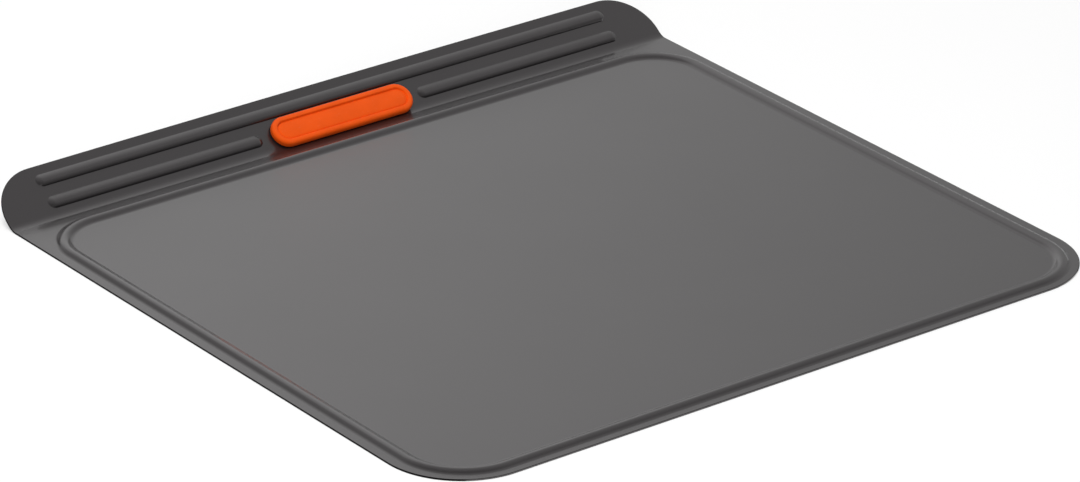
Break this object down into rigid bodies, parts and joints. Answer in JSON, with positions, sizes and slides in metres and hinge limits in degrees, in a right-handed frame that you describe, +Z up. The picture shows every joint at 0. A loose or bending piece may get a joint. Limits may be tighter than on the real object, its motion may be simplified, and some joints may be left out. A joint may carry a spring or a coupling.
{
  "type": "cookie sheet",
  "caption": "Flat dark nonstick steel cookie sheet with a raised bead round its baking surface and a tilted, ribbed handle flange that holds an orange silicone grip.",
  "frame": {"origin": "on the surface that the sheet lies on, under the middle of the whole sheet", "axes": "+X along the handle edge, +Y from the open front edge towards the handle, +Z up from the baking surface"},
  "size_m": [0.38, 0.3564, 0.0177],
  "materials": {
    "nonstick_steel": "semi-gloss dark grey nonstick coating on both sides",
    "orange_silicone": "matte moulded silicone"
  },
  "bodies": {
    "root": {"steel_sheet": "nonstick_steel", "silicone_grip": "orange_silicone"}
  },
  "joints": []
}
